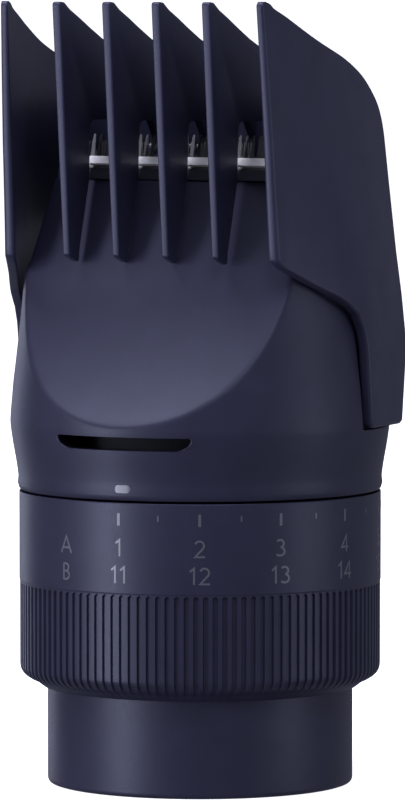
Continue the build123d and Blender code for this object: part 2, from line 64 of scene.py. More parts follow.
# ---- small tools ------------------------------------------------------------------------
def new_mesh(name, points, faces, smooth=True):
    """A mesh object from points in millimetres."""
    mesh = bpy.data.meshes.new(name)
    mesh.from_pydata((np.asarray(points, float) * MM).tolist(), [], faces)
    mesh.validate()
    mesh.update()
    obj = bpy.data.objects.new(name, mesh)
    bpy.context.scene.collection.objects.link(obj)
    if smooth:
        mesh.polygons.foreach_set("use_smooth", [True] * len(mesh.polygons))
    return obj


def face_outward(obj):
    """Turns every face of a closed mesh outward."""
    bm = bmesh.new()
    bm.from_mesh(obj.data)
    bmesh.ops.recalc_face_normals(bm, faces=bm.faces)
    bm.to_mesh(obj.data)
    bm.free()


def apply_modifiers(obj):
    """Bakes an object's modifiers into its mesh."""
    graph = bpy.context.evaluated_depsgraph_get()
    mesh = bpy.data.meshes.new_from_object(obj.evaluated_get(graph))
    obj.modifiers.clear()
    obj.data = mesh
    return obj


def boolean(obj, other, operation):
    """Joins or cuts obj with another closed mesh, which is then deleted."""
    modifier = obj.modifiers.new("boolean", "BOOLEAN")
    modifier.operation = operation
    modifier.solver = "EXACT"
    modifier.object = other
    apply_modifiers(obj)
    bpy.data.objects.remove(other)
    return obj


def sharp_by_angle(obj, degrees):
    """Smooth shading, with a crease wherever two faces meet at more than this angle."""
    mesh = obj.data
    mesh.polygons.foreach_set("use_smooth", [True] * len(mesh.polygons))
    mesh.set_sharp_from_angle(angle=math.radians(degrees))


def tube_of_loops(name, loops, closed_rows=False):
    """A mesh from stacked closed loops, an array of rows x columns x 3, capped or joined end to end."""
    rows, columns, _ = loops.shape
    index = np.arange(rows * columns).reshape(rows, columns)
    after = np.roll(index, -1, axis=1)
    if closed_rows:
        low, high = index, np.roll(index, -1, axis=0)
        low_after, high_after = after, np.roll(after, -1, axis=0)
    else:
        low, high, low_after, high_after = index[:-1], index[1:], after[:-1], after[1:]
    quads = np.stack([low, low_after, high_after, high], axis=-1).reshape(-1, 4).tolist()
    if not closed_rows:
        quads.append(index[0][::-1].tolist())
        quads.append(index[-1].tolist())
    obj = new_mesh(name, loops.reshape(-1, 3), quads)
    face_outward(obj)
    return obj


def round_corners(points, radii, steps=5):
    """A closed outline in two dimensions with each corner rounded to its radius."""
    result = []
    count = len(points)
    for i in range(count):
        before = np.array(points[i - 1], float)
        corner = np.array(points[i], float)
        after = np.array(points[(i + 1) % count], float)
        radius = radii[i] if hasattr(radii, "__len__") else radii
        to_before = (before - corner) / np.linalg.norm(before - corner)
        to_after = (after - corner) / np.linalg.norm(after - corner)
        half = math.acos(float(np.clip(to_before @ to_after, -1, 1))) / 2
        if radius <= 0 or half > math.radians(88):
            result.append(corner)
            continue
        reach = min(radius / math.tan(half), 0.45 * np.linalg.norm(before - corner),
                    0.45 * np.linalg.norm(after - corner))
        start = corner + to_before * reach
        end = corner + to_after * reach
        for t in np.linspace(0, 1, steps):
            result.append((1 - t) ** 2 * start + 2 * t * (1 - t) * corner + t ** 2 * end)
    return np.array(result)


def lathe(name, outline, columns):
    """A closed outline of (radius, height) turned about the object's axis."""
    turn = np.linspace(0, 2 * math.pi, columns, endpoint=False)
    radius, height = outline[:, 0][:, None], outline[:, 1][:, None]
    loops = np.stack([radius * np.sin(turn), -radius * np.cos(turn), height + 0 * turn], axis=-1)
    return tube_of_loops(name, loops, closed_rows=True)


def prism(name, outline, low, high, bevel, axis=0, steps=3):
    """A closed outline extruded between two values of an axis, with its edges rounded."""
    count = len(outline)
    sides = [np.insert(np.asarray(outline, float), axis, value, axis=1) for value in (low, high)]
    faces = [list(range(count))[::-1], list(range(count, 2 * count))]
    faces += [[i, (i + 1) % count, count + (i + 1) % count, count + i] for i in range(count)]
    obj = new_mesh(name, np.concatenate(sides), faces)
    face_outward(obj)
    if bevel:
        modifier = obj.modifiers.new("bevel", "BEVEL")
        modifier.width = bevel * MM
        modifier.segments = steps
        modifier.limit_method = "ANGLE"
        modifier.angle_limit = math.radians(50)
        apply_modifiers(obj)
    return obj


def join(name, parts):
    """Several meshes as one object."""
    bm = bmesh.new()
    for part in parts:
        bm.from_mesh(part.data)
        bpy.data.objects.remove(part)
    mesh = bpy.data.meshes.new(name)
    bm.to_mesh(mesh)
    bm.free()
    obj = bpy.data.objects.new(name, mesh)
    bpy.context.scene.collection.objects.link(obj)
    return obj


def seat(obj, body, slot, material, *nodes):
    """Puts a finished piece in the frame: its body, its material and what it stands for. The slot argument
    is not used.
    """
    obj.data.materials.clear()
    obj.data.materials.append(material)
    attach(obj, body)
    if nodes:
        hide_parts(*nodes)


# ---- materials --------------------------------------------------------------------------
def new_material(name):
    material = bpy.data.materials.new(name)
    material.use_nodes = True
    nodes = material.node_tree.nodes
    return material, nodes, material.node_tree.links, nodes["Principled BSDF"]


def grain(nodes, links, scale, detail=2.0, stretch=(1, 1, 1)):
    """Noise in the object's own space; scale is in features per metre."""
    where = nodes.new("ShaderNodeTexCoord")
    mapping = nodes.new("ShaderNodeMapping")
    mapping.inputs["Scale"].default_value = stretch
    noise = nodes.new("ShaderNodeTexNoise")
    noise.inputs["Scale"].default_value = scale
    noise.inputs["Detail"].default_value = detail
    links.new(where.outputs["Object"], mapping.inputs["Vector"])
    links.new(mapping.outputs["Vector"], noise.inputs["Vector"])
    return noise.outputs["Fac"]


def spread(nodes, links, value, low, high):
    """A noise value mapped to a range of roughness or height."""
    remap = nodes.new("ShaderNodeMapRange")
    remap.inputs["From Min"].default_value = 0.3
    remap.inputs["From Max"].default_value = 0.7
    remap.inputs["To Min"].default_value = low
    remap.inputs["To Max"].default_value = high
    links.new(value, remap.inputs["Value"])
    return remap.outputs["Result"]


def tint(nodes, links, value, dark, light):
    """A colour that drifts between two near shades."""
    ramp = nodes.new("ShaderNodeValToRGB")
    ramp.color_ramp.elements[0].position = 0.3
    ramp.color_ramp.elements[0].color = (*dark, 1)
    ramp.color_ramp.elements[1].position = 0.7
    ramp.color_ramp.elements[1].color = (*light, 1)
    links.new(value, ramp.inputs["Fac"])
    return ramp.outputs["Color"]


def bump(nodes, links, height, strength, distance):
    node = nodes.new("ShaderNodeBump")
    node.inputs["Strength"].default_value = strength
    node.inputs["Distance"].default_value = distance
    links.new(height, node.inputs["Height"])
    return node.outputs["Normal"]


def satin_plastic(name, colour, roughness, texture=0.35, grain_size=0.14, sheen=(1, 1, 1)):
    """Moulded plastic with a fine even texture; grain_size is in millimetres."""
    material, nodes, links, shader = new_material(name)
    fine = grain(nodes, links, 1000 / grain_size, detail=3)
    broad = grain(nodes, links, 260, detail=4)
    dark = tuple(0.9 * c for c in colour)
    light = tuple(1.12 * c for c in colour)
    links.new(tint(nodes, links, broad, dark, light), shader.inputs["Base Color"])
    links.new(spread(nodes, links, fine, roughness - 0.05, roughness + 0.06), shader.inputs["Roughness"])
    links.new(bump(nodes, links, fine, texture, 0.00002), shader.inputs["Normal"])
    shader.inputs["IOR"].default_value = 1.48
    shader.inputs["Specular Tint"].default_value = (*sheen, 1)
    return material


def ground_steel(name, colour, roughness, stretch):
    """Steel with fine lines left by grinding or drawing."""
    material, nodes, links, shader = new_material(name)
    lines = grain(nodes, links, 2500, detail=4, stretch=stretch)
    broad = grain(nodes, links, 400)
    shader.inputs["Metallic"].default_value = 1.0
    dark = tuple(0.86 * c for c in colour)
    links.new(tint(nodes, links, broad, dark, colour), shader.inputs["Base Color"])
    links.new(spread(nodes, links, lines, roughness - 0.07, roughness + 0.12), shader.inputs["Roughness"])
    links.new(bump(nodes, links, lines, 0.25, 0.00001), shader.inputs["Normal"])
    return material


def print_ink(name, colour):
    """Pad-printed ink, slightly uneven."""
    material, nodes, links, shader = new_material(name)
    speckle = grain(nodes, links, 9000, detail=2)
    dark = tuple(0.8 * c for c in colour)
    links.new(tint(nodes, links, speckle, dark, colour), shader.inputs["Base Color"])
    links.new(spread(nodes, links, speckle, 0.36, 0.46), shader.inputs["Roughness"])
    shader.inputs["IOR"].default_value = 2.0
    return material


NAVY = (0.0212, 0.0212, 0.041)
NAVY_SHEEN = (0.89, 0.9, 1.0)
shell_navy = satin_plastic("navy_shell", NAVY, 0.44, sheen=NAVY_SHEEN)
dial_navy = satin_plastic("navy_dial", NAVY, 0.42, sheen=NAVY_SHEEN)
# the comb's navy is the shared navy lightened by 1.25: painted light that lifts the shaded ribs
comb_navy_painted_light = satin_plastic("navy_comb", tuple(1.25 * c for c in NAVY), 0.42, texture=0.22, sheen=NAVY_SHEEN)
ink = print_ink("scale_ink", (0.085, 0.085, 0.098))
index_ink = print_ink("index_ink", (0.14, 0.14, 0.145))
inner_black = satin_plastic("inner_plastic", (0.017, 0.018, 0.024), 0.5)
cam_white = satin_plastic("cam_plastic", (0.56, 0.56, 0.53), 0.4, texture=0.2)
soft_rubber = satin_plastic("seal_rubber", (0.016, 0.016, 0.016), 0.7, texture=0.5)
# the blade steel is darker than bright steel: painted shade that keeps the teeth between the ribs dark
blade_steel = ground_steel("blade_steel", (0.4, 0.39, 0.37), 0.16, (1, 14, 14))
bevel_steel = ground_steel("ground_bevel", (0.74, 0.72, 0.66), 0.5, (1, 14, 14))
# near-black rinse baffle: painted shade for the inside of the rinse slot
painted_shade_black = satin_plastic("rinse_baffle", (0.006, 0.006, 0.009), 0.7)
spring_steel = ground_steel("spring_steel", (0.6, 0.6, 0.61), 0.3, (1, 1, 1))
screw_steel = ground_steel("screw_steel", (0.55, 0.55, 0.57), 0.34, (1, 1, 1))
shaft_steel = ground_steel("shaft_steel", (0.63, 0.63, 0.65), 0.2, (1, 1, 10))
bronze = ground_steel("bearing_bronze", (0.55, 0.38, 0.2), 0.42, (1, 1, 1))

slot_material = {
    "navy_shell": shell_navy, "navy_dial": dial_navy, "navy_comb": comb_navy_painted_light, "inner_plastic": inner_black,
    "cam_plastic": cam_white, "seal_rubber": soft_rubber, "blade_steel": blade_steel,
    "spring_steel": spring_steel, "screw_steel": screw_steel, "shaft_steel": shaft_steel,
    "bearing_bronze": bronze,
}
node_slot = {row["node"]: row["material_slot"] for row in frame["record"]["subparts"]}
for node, obj in frame["nodes"].items():
    obj.data.materials.clear()
    obj.data.materials.append(slot_material[node_slot[node]])


# ---- camera and lights ------------------------------------------------------------------
VIEW_TURN = math.radians(25.2)
VIEW_PITCH = math.radians(3.92)
VIEW_FAR = 0.8
VIEW_HEIGHT = 0.1024
VIEW_SIDE = 0.0003
right = Vector((math.cos(VIEW_TURN), math.sin(VIEW_TURN), 0))
away = Vector((math.sin(VIEW_TURN), -math.cos(VIEW_TURN), 0))
camera_data = bpy.data.cameras.new("camera")
camera_data.sensor_fit = "VERTICAL"
camera_data.sensor_height = 36
camera_data.lens = 290.2
camera_data.clip_start = 0.05
camera_data.clip_end = 400
camera = bpy.data.objects.new("camera", camera_data)
camera.location = away * VIEW_FAR + right * VIEW_SIDE + Vector((0, 0, VIEW_HEIGHT))
camera.rotation_euler = (math.pi / 2 - VIEW_PITCH, 0, VIEW_TURN)
bpy.context.scene.collection.objects.link(camera)
bpy.context.scene.camera = camera


ROOM_COLOUR = (0.74, 0.77, 1.0)


def soft_box(name, turn, elevation, distance, width, height, watts, target_z=0.055):
    """An area light placed round the object by its angle from the camera's side, in degrees."""
    light = bpy.data.lights.new(name, "AREA")
    light.shape = "RECTANGLE"
    light.size = width
    light.size_y = height
    light.energy = watts
    light.color = ROOM_COLOUR
    obj = bpy.data.objects.new(name, light)
    angle = VIEW_TURN + math.radians(turn)
    tilt = math.radians(elevation)
    flat = Vector((math.sin(angle), -math.cos(angle), 0)) * math.cos(tilt)
    obj.location = (flat + Vector((0, 0, math.sin(tilt)))) * distance + Vector((0, 0, target_z))
    obj.rotation_euler = (flat + Vector((0, 0, math.sin(tilt)))).to_track_quat("Z", "Y").to_euler()
    bpy.context.scene.collection.objects.link(obj)


# a low strip on the left draws the long highlight and a wide one overhead lights the scoop
soft_box("key_left", -60, -3, 0.9, 0.23, 0.6, 4.3)
soft_box("low_right", 70, -2, 0.9, 0.34, 0.4, 0.95)
soft_box("overhead", -84, 68, 0.9, 0.8, 0.6, 8.2)
soft_box("high_front", 14, 46, 0.9, 0.4, 0.4, 2.4)
soft_box("rim_left", -150, 0, 0.9, 0.2, 0.4, 0.5)


def studio_world(felt):
    """A white room, seen as white and felt as a dim cool light."""
    world = bpy.data.worlds.new("studio")
    world.use_nodes = True
    nodes, links = world.node_tree.nodes, world.node_tree.links
    path = nodes.new("ShaderNodeLightPath")
    cool = nodes["Background"]
    cool.inputs["Color"].default_value = (*ROOM_COLOUR, 1)
    cool.inputs["Strength"].default_value = felt
    white = nodes.new("ShaderNodeBackground")
    white.inputs["Color"].default_value = (1, 1, 1, 1)
    choice = nodes.new("ShaderNodeMixShader")
    links.new(path.outputs["Is Camera Ray"], choice.inputs["Fac"])
    links.new(cool.outputs["Background"], choice.inputs[1])
    links.new(white.outputs["Background"], choice.inputs[2])
    links.new(choice.outputs["Shader"], nodes["World Output"].inputs["Surface"])
    bpy.context.scene.world = world
    bpy.context.scene.view_settings.view_transform = "Standard"


studio_world(0.25)


# ---- floor ------------------------------------------------------------------------------
def floor():
    edge, level = 150000, -0.02
    corners = [(-edge, -edge, level), (edge, -edge, level), (edge, edge, level), (-edge, edge, level)]
    obj = new_mesh("floor", corners, [(0, 1, 2, 3)], smooth=False)
    material, nodes, links, shader = new_material("pale_floor")
    shader.inputs["Base Color"].default_value = (0.9, 0.9, 0.9, 1)
    shader.inputs["Roughness"].default_value = 0.9
    shader.inputs["Specular IOR Level"].default_value = 0
    shader.inputs["Emission Color"].default_value = (1, 1, 1, 1)
    shader.inputs["Emission Strength"].default_value = 0.95
    obj.data.materials.append(material)
    obj.visible_diffuse = False
    obj.visible_glossy = False
    obj.visible_shadow = False


floor()


# ---- collar -----------------------------------------------------------------------------
def collar():
    """Plain ring outside; inside a socket with grooves for the seal and the latch ring."""
    socket = COLLAR_R - 2.0
    outline = [
        (socket, 0), (COLLAR_R, 0), (COLLAR_R, COLLAR_TOP), (socket + 0.1, COLLAR_TOP),
        (socket + 0.1, 11.0), (13.5, 11.0), (13.5, 8.8), (socket, 8.8),
        (socket, 8.3), (17.9, 8.3), (17.9, 7.1), (socket, 7.1),
        (socket, 6.4), (17.7, 6.4), (17.7, 5.4), (socket, 5.4),
    ]
    radii = [0.4, 0.7, 0.2, 0.1, 0, 0, 0.3, 0, 0.08, 0, 0, 0.08, 0.08, 0, 0, 0.08]
    obj = lathe("collar_shell", round_corners(outline, radii, 7), 288)
    sharp_by_angle(obj, 40)
    seat(obj, "head", "navy_shell", shell_navy, "collar")


# ---- dial -------------------------------------------------------------------------------
GROOVES = 120
GROOVE_DEPTH = 0.3
KNURL_LOW = 14.9
KNURL_TOP = 25.1
KNURL_R = DIAL_R - 0.07
GROOVE_FOOT = 12.6
GROOVE_FADE = 1.0
DIAL_BORE = 19.25
NUMBER_STEP = 26.0
SCALE_START = -0.9


def dial():
    """A turned ring whose radius dips into upright grooves over the grip band."""
    low = dial_low[2]
    corner = [(19.3, low), (19.5, low), (20.5, 12.85), (21.2, 13.16), (21.75, 13.5), (22.1, 13.85),
              (22.3, 14.2), (KNURL_R - 0.03, 14.55)]
    rise = round_corners(corner + [(KNURL_R, 20), (19.3, 20)], [0.05, 0.2] + [0.4] * 6 + [0, 0], 3)[:-2]
    grip = [(KNURL_R, z) for z in np.concatenate([
        np.linspace(KNURL_LOW, 15.6, 4), np.linspace(16, 24, 6), np.arange(24.2, KNURL_TOP + 0.15, 0.09)])]
    band = round_corners([(KNURL_R, 25.28), (DIAL_R, 25.45), (DIAL_R, DIAL_TOP), (DIAL_BORE, DIAL_TOP)],
                         [0, 0.12, 0.15, 0.1], 5)
    inside = [(DIAL_BORE, 14.7), (19.3, 14.7)]
    outline = np.array([*rise, *grip, *band, *inside])
    per_groove = 10
    columns = GROOVES * per_groove
    turn = np.linspace(0, 2 * math.pi, columns, endpoint=False)
    along = (np.arange(columns) % per_groove) / per_groove
    from_middle = np.minimum(along, 1 - along)
    # the groove narrows to a round end at the top and fades out round the lower corner
    half_width = 0.25
    pitch = 2 * math.pi * DIAL_R / GROOVES
    end_radius = half_width * pitch
    above = np.clip((outline[:, 1] - (KNURL_TOP - end_radius)) / end_radius, 0, 1)
    width = half_width * np.sqrt(1 - above ** 2)
    edge = 0.05
    shape = np.clip((width[:, None] - from_middle[None, :]) / edge + 0.5, 0, 1)
    shape = shape * shape * (3 - 2 * shape)
    fade = np.clip((outline[:, 1] - GROOVE_FOOT) / GROOVE_FADE, 0, 1)
    is_grip = (outline[:, 0] > DIAL_BORE + 0.75) & (outline[:, 1] < KNURL_TOP)
    depth = GROOVE_DEPTH * shape * (fade * is_grip)[:, None]
    radius = outline[:, 0][:, None] - depth
    loops = np.stack([radius * np.sin(turn), -radius * np.cos(turn), outline[:, 1][:, None] + 0 * turn],
                     axis=-1)
    obj = tube_of_loops("dial_shell", loops, closed_rows=True)
    sharp_by_angle(obj, 48)
    seat(obj, "dial", "navy_dial", dial_navy, "dial_ring")


# ---- printed scale ----------------------------------------------------------------------
INK_THICK = 0.03
STROKE = 0.25
WIDEN = 1.14


def wrapped(points, turn, height, radius):
    """Flat x, y, z laid round a cylinder: x runs round it, y up it and z out of it."""
    angle = turn + points[:, 0] / radius
    out = radius + points[:, 2]
    return np.stack([out * np.sin(angle), -out * np.cos(angle), height + points[:, 1]], axis=-1)


def arc(x, y, across, up, start, stop, count=14):
    """Points on an ellipse from one angle to another, in degrees."""
    angle = np.radians(np.linspace(start, stop, count))
    return list(zip(x + across * np.cos(angle), y + up * np.sin(angle)))


# A thin plain alphabet: each glyph is a width and the lines its pen draws, in cap heights.
GLYPHS = {
    "0": (0.58, [arc(0.29, 0.5, 0.25, 0.46, 90, 450, 29)]),
    "1": (0.36, [[(0.02, 0.76), (0.24, 0.96), (0.24, 0.0)]]),
    "2": (0.54, [arc(0.26, 0.7, 0.23, 0.26, 160, -38) + [(0.04, 0.04), (0.54, 0.04)]]),
    "3": (0.54, [arc(0.22, 0.74, 0.21, 0.22, 140, -80), arc(0.22, 0.28, 0.26, 0.24, 80, -140)]),
    "4": (0.58, [[(0.42, 0.0), (0.42, 0.96), (0.02, 0.28), (0.58, 0.28)]]),
    "5": (0.52, [[(0.46, 0.96), (0.12, 0.96), (0.1, 0.56)], arc(0.22, 0.31, 0.25, 0.27, 118, -140)]),
    "6": (0.56, [arc(0.29, 0.29, 0.24, 0.25, 90, 450, 23), arc(0.6, 0.32, 0.55, 0.64, 108, 178)]),
    "7": (0.54, [[(0.02, 0.96), (0.5, 0.96), (0.18, 0.0)]]),
    "8": (0.54, [arc(0.27, 0.74, 0.19, 0.22, 90, 450, 21), arc(0.27, 0.28, 0.24, 0.24, 90, 450, 21)]),
    "9": (0.56, [arc(0.27, 0.69, 0.24, 0.25, 90, 450, 23), arc(-0.04, 0.66, 0.55, 0.64, -72, -2)]),
    "A": (0.74, [[(0.0, 0.0), (0.37, 0.98), (0.74, 0.0)], [(0.12, 0.32), (0.62, 0.32)]]),
    "B": (0.54, [[(0.08, 0.0), (0.08, 0.96)],
                 [(0.08, 0.96), *arc(0.24, 0.74, 0.2, 0.22, 90, -90, 9), (0.08, 0.52)],
                 [(0.08, 0.52), *arc(0.24, 0.28, 0.25, 0.24, 90, -90, 9), (0.08, 0.04)]]),
}


def pen_line(line, width, x_shift, size):
    """One pen line as a flat ribbon with thickness, in x, y and z, and its faces."""
    points = np.array(line) * (WIDEN * size, size) + (x_shift, -size / 2)
    step = np.diff(points, axis=0)
    step /= np.linalg.norm(step, axis=1)[:, None]
    before, after = np.vstack([step[:1], step]), np.vstack([step, step[-1:]])
    along = before + after
    along /= np.linalg.norm(along, axis=1)[:, None]
    stretch = 1 / np.maximum((along * after).sum(axis=1), 0.45)
    side = np.stack([-along[:, 1], along[:, 0]], axis=-1) * (width / 2 * stretch)[:, None]
    left, right = points + side, points - side
    rows = np.stack([np.column_stack([left, 0 * left[:, 0] - INK_THICK / 2]),
                     np.column_stack([right, 0 * left[:, 0] - INK_THICK / 2]),
                     np.column_stack([right, 0 * left[:, 0] + INK_THICK / 2]),
                     np.column_stack([left, 0 * left[:, 0] + INK_THICK / 2])], axis=1)
    count = len(points)
    faces = [(4 * i + j, 4 * i + (j + 1) % 4, 4 * i + 4 + (j + 1) % 4, 4 * i + 4 + j)
             for i in range(count - 1) for j in range(4)]
    faces += [(3, 2, 1, 0), (4 * count - 4, 4 * count - 3, 4 * count - 2, 4 * count - 1)]
    return rows.reshape(-1, 3), faces


def text_mesh(text, size, turn, height, radius):
    """Numerals or a letter, centred, as a thin raised print on a cylinder."""
    space = 0.16
    total = sum(GLYPHS[c][0] for c in text) + space * (len(text) - 1)
    x = -total / 2 * WIDEN
    prints = []
    for character in text:
        width, lines = GLYPHS[character]
        for line in lines:
            points, faces = pen_line(line, STROKE, x * size, size)
            prints.append(new_mesh("print", wrapped(points, turn, height, radius), faces, smooth=False))
            face_outward(prints[-1])
        x += (width + space) * WIDEN
    return prints


def bar_mesh(width, tall, turn, height, radius):
    """A small upright tick."""
    x, y, z = width / 2, tall / 2, INK_THICK / 2
    flat = np.array([(a, b, c) for c in (-z, z) for a, b in ((-x, -y), (x, -y), (x, y), (-x, y))])
    faces = [(3, 2, 1, 0), (4, 5, 6, 7), (0, 1, 5, 4), (1, 2, 6, 5), (2, 3, 7, 6), (3, 0, 4, 7)]
    return new_mesh("tick", wrapped(flat, turn, height, radius), faces, smooth=False)


def scale():
    """Row A from 1 to 10, row B from 11 to 20, a tick at each number and a small one between."""
    row_a, row_b, tick_row, small_tick_row = 31.0, 27.7, 34.45, 34.65
    letters_before = 20.35
    cap_height = 2.08
    surface = DIAL_R + INK_THICK / 2
    prints = []
    for number in range(1, 11):
        turn = math.radians(SCALE_START + NUMBER_STEP * (number - 1))
        prints += text_mesh(str(number), cap_height, turn, row_a, surface)
        prints += text_mesh(str(number + 10), cap_height, turn, row_b, surface)
        prints.append(bar_mesh(0.35, 1.5, turn, tick_row, surface))
        if number < 10:
            between = turn + math.radians(NUMBER_STEP / 2)
            prints.append(bar_mesh(0.2, 0.7, between, small_tick_row, surface))
    for letter, height in (("A", row_a), ("B", row_b)):
        turn = math.radians(SCALE_START - letters_before)
        prints += text_mesh(letter, cap_height, turn, height, surface)
    obj = join("dial_scale", prints)
    seat(obj, "dial", "navy_dial", ink)


# ---- housing ----------------------------------------------------------------------------
RIDGE_R = housing_high[0]
BARREL = [(SKIRT_LOW, 22.42), (SKIRT_LOW + 0.12, 22.52), (38.3, 22.6), (40.3, 22.88), (42.2, 23.22),
          (44.1, 23.5), (45.0, RIDGE_R), (46.0, 23.55), (48.1, 23.38), (50.1, 23.2), (52.0, 22.97),
          (57.0, 22.4), (63.0, 21.8), (NECK_TOP, 20.4)]
SCOOP = [(45.2, -23.9), (47.9, -22.0), (53.6, -18.6), (60.0, -15.7), (66.0, -13.9), (NECK_TOP, -11.0)]
BACK = [(52.0, 22.0), (56.6, 15.5), (62.0, 9.5), (68.0, 5.4), (NECK_TOP, -0.35)]
SHOULDER = [(58.5, 22.6), (65.0, 17.6), (NECK_TOP, 15.45)]
SCOOP_CENTRE = 57.0
NECK_FORWARD = 5.6
EDGE_SOFTNESS = 0.09


def smooth_curve(points, value):
    """A cubic through (position, value) points, with slopes from their neighbours, flat past its ends."""
    x = np.array([p[0] for p in points], float)
    y = np.array([p[1] for p in points], float)
    slope = np.gradient(y, x)
    position = np.clip(value, x[0], x[-1])
    k = np.clip(np.searchsorted(x, position) - 1, 0, len(x) - 2)
    width = x[k + 1] - x[k]
    t = (position - x[k]) / width
    return ((2 * t ** 3 - 3 * t ** 2 + 1) * y[k] + (t ** 3 - 2 * t ** 2 + t) * width * slope[k]
            + (3 * t ** 2 - 2 * t ** 3) * y[k + 1] + (t ** 3 - t ** 2) * width * slope[k + 1])


def centre_line(height):
    """Y of the middle of the housing's section, which moves forward towards the blade."""
    t = np.clip((height - 52.0) / (NECK_TOP - 52.0), 0, 1)
    return -NECK_FORWARD * t * t * (3 - 2 * t)


def skin(height, turn, inset=0.0):
    """One level loop of the housing: the barrel, trimmed by scoop, back slope and shoulders."""
    middle = float(centre_line(height))
    dx, dy = np.sin(turn), -np.cos(turn)

    def to_circle(centre_y, radius):
        ahead = (middle - centre_y) * dy
        return -ahead + np.sqrt(np.maximum(ahead ** 2 + radius ** 2 - (middle - centre_y) ** 2, 1e-6))

    far = 90.0
    reach = [to_circle(0.0, float(smooth_curve(BARREL, height)) - inset)]
    if height > SCOOP[0][0] - 0.5:
        line = float(smooth_curve(SCOOP, height)) - max(0.0, SCOOP[0][0] - height) * 0.8
        reach.append(to_circle(SCOOP_CENTRE, SCOOP_CENTRE - line - inset))
    if height > BACK[0][0] - 1.0:
        line = float(smooth_curve(BACK, height)) - inset + max(0.0, BACK[0][0] - height) * 3
        with np.errstate(divide="ignore"):
            reach.append(np.where(dy > 1e-6, (line - middle) / dy, far))
    if height > SHOULDER[0][0] - 2.0:
        line = np.interp(height, [p[0] for p in SHOULDER], [p[1] for p in SHOULDER]) - inset
        line = line + max(0.0, SHOULDER[0][0] - height) * 0.8
        with np.errstate(divide="ignore"):
            reach.append(np.minimum(line / np.maximum(np.abs(dx), 1e-6), far))
    stack = np.minimum(np.array(reach), far)
    nearest = stack.min(axis=0)
    # the nearest surface wins, blended where two of them meet
    blend = np.log(np.exp(-(stack - nearest) / EDGE_SOFTNESS).sum(axis=0))
    length = nearest - EDGE_SOFTNESS * blend
    return np.stack([length * dx, middle + length * dy, np.full_like(turn, height)], axis=-1)


WALL = 1.7
LIP_R = 0.16
LIP_SUNK = 0.1


def rinse_mouth():
    """The rinse slot's outline in X and Z: straight above, with long round corners below."""
    half, top, low, corner = 9.1, 44.5, 42.85, 2.4
    angle = np.linspace(0, math.pi / 2, 9)
    right = [(half - corner + corner * math.cos(a), top - 0.2 - (top - 0.2 - low) * math.sin(a))
             for a in angle]
    left = [(-x, z) for x, z in right[::-1]]
    return np.array([(-half + 0.15, top), (half - 0.15, top), *right, *left])


def lip(outline, sides=8):
    """A round bead along the rinse slot's edge, partly sunk in the skin."""
    loops = []
    middle = outline.mean(axis=0)
    for x, height in outline:
        flat = float(smooth_curve(BARREL, height)) - LIP_SUNK
        depth = math.sqrt(flat ** 2 - x ** 2)
        out = np.array([x, -depth, 0.0]) / flat
        across = np.array([x - middle[0], 0.0, height - middle[1]])
        across -= out * (across @ out)
        across /= np.linalg.norm(across)
        angle = np.linspace(0, 2 * math.pi, sides, endpoint=False)[:, None]
        ring = np.cos(angle) * out + np.sin(angle) * across
        loops.append(np.array([x, -depth, height]) + LIP_R * ring)
    return tube_of_loops("lip", np.array(loops), closed_rows=True)


def housing():
    """The skin outside, an offset of it inside, then a floor and a skirt, cut for comb and slot."""
    columns = 640
    turn = np.linspace(-math.pi, math.pi, columns, endpoint=False)
    turn = turn - 0.5 * np.sin(turn)  # closer columns at the front, where the scoop's edge runs
    loops = []
    for height in np.concatenate([[SKIRT_LOW, SKIRT_LOW + 0.06, SKIRT_LOW + 0.12],
                                  np.linspace(SKIRT_LOW + 0.7, 44.4, 9), np.linspace(44.6, 50.0, 34),
                                  np.linspace(50.3, 74.7, 72), [74.95, 75.1]]):
        loops.append(skin(height, turn))
    loops.append(skin(NECK_TOP, turn, inset=0.12))
    loops.append(skin(NECK_TOP, turn, inset=1.3))
    for height in np.concatenate([[74.8, 73.5], np.linspace(71, 43, 10), [41.4]]):
        loops.append(skin(height, turn, inset=WALL + 0.3))

    def plain(radius, height):
        level = np.full_like(turn, height)
        return np.stack([radius * np.sin(turn), -radius * np.cos(turn), level], axis=-1)

    loops += [plain(20.6, 41.0), plain(8.1, 41.0), plain(8.0, 40.9), plain(8.0, 39.0), plain(20.6, 39.0),
              plain(20.6, SKIRT_LOW + 0.1), plain(20.7, SKIRT_LOW)]
    obj = tube_of_loops("housing_shell", np.array(loops), closed_rows=True)

    # flat pockets and windows behind the comb's tabs, and the floor slots for the carrier's arms
    for side in (-1, 1):
        pocket = [(-2.9, 44.65), (10.0, 44.65), (10.0, 66.0), (-2.9, 66.0)]
        span_x = sorted((side * 22.0, side * 26.0))
        boolean(obj, prism("cut", round_corners(pocket, 0.5), *span_x, 0.0), "DIFFERENCE")
        window = [(-0.1, 45.6), (6.1, 45.6), (6.1, 59.4), (-0.1, 59.4)]
        span_x = sorted((side * 17.0, side * 26.0))
        boolean(obj, prism("cut", round_corners(window, 0.4), *span_x, 0.0), "DIFFERENCE")
        swing = np.radians(np.linspace(-8.6, 30.6, 13))
        slot = [(side * 16.85 * math.cos(a), 16.85 * math.sin(a)) for a in swing]
        slot += [(side * 14.25 * math.cos(a), 14.25 * math.sin(a)) for a in swing[::-1]]
        boolean(obj, prism("cut", np.array(slot), 38.0, 42.5, 0.0, axis=2), "DIFFERENCE")
    mouth = rinse_mouth()
    boolean(obj, prism("cut", mouth, -30.0, -17.0, 0.0, axis=1), "DIFFERENCE")
    boolean(obj, lip(mouth), "UNION")
    sharp_by_angle(obj, 36)
    seat(obj, "head", "navy_shell", shell_navy, "housing")


def rinse_baffle():
    """A near-black curved wall behind the rinse slot, painted shade that keeps the slot's inside dark."""
    section = ((18.2, 41.1), (18.2, 46.6), (17.7, 46.6), (17.7, 41.1))
    loops = [[(r * math.sin(a), -r * math.cos(a), z) for r, z in section]
             for a in np.radians(np.linspace(-34, 34, 31))]
    obj = tube_of_loops("rinse_baffle", np.array(loops))
    sharp_by_angle(obj, 40)
    seat(obj, "head", "inner_plastic", painted_shade_black)


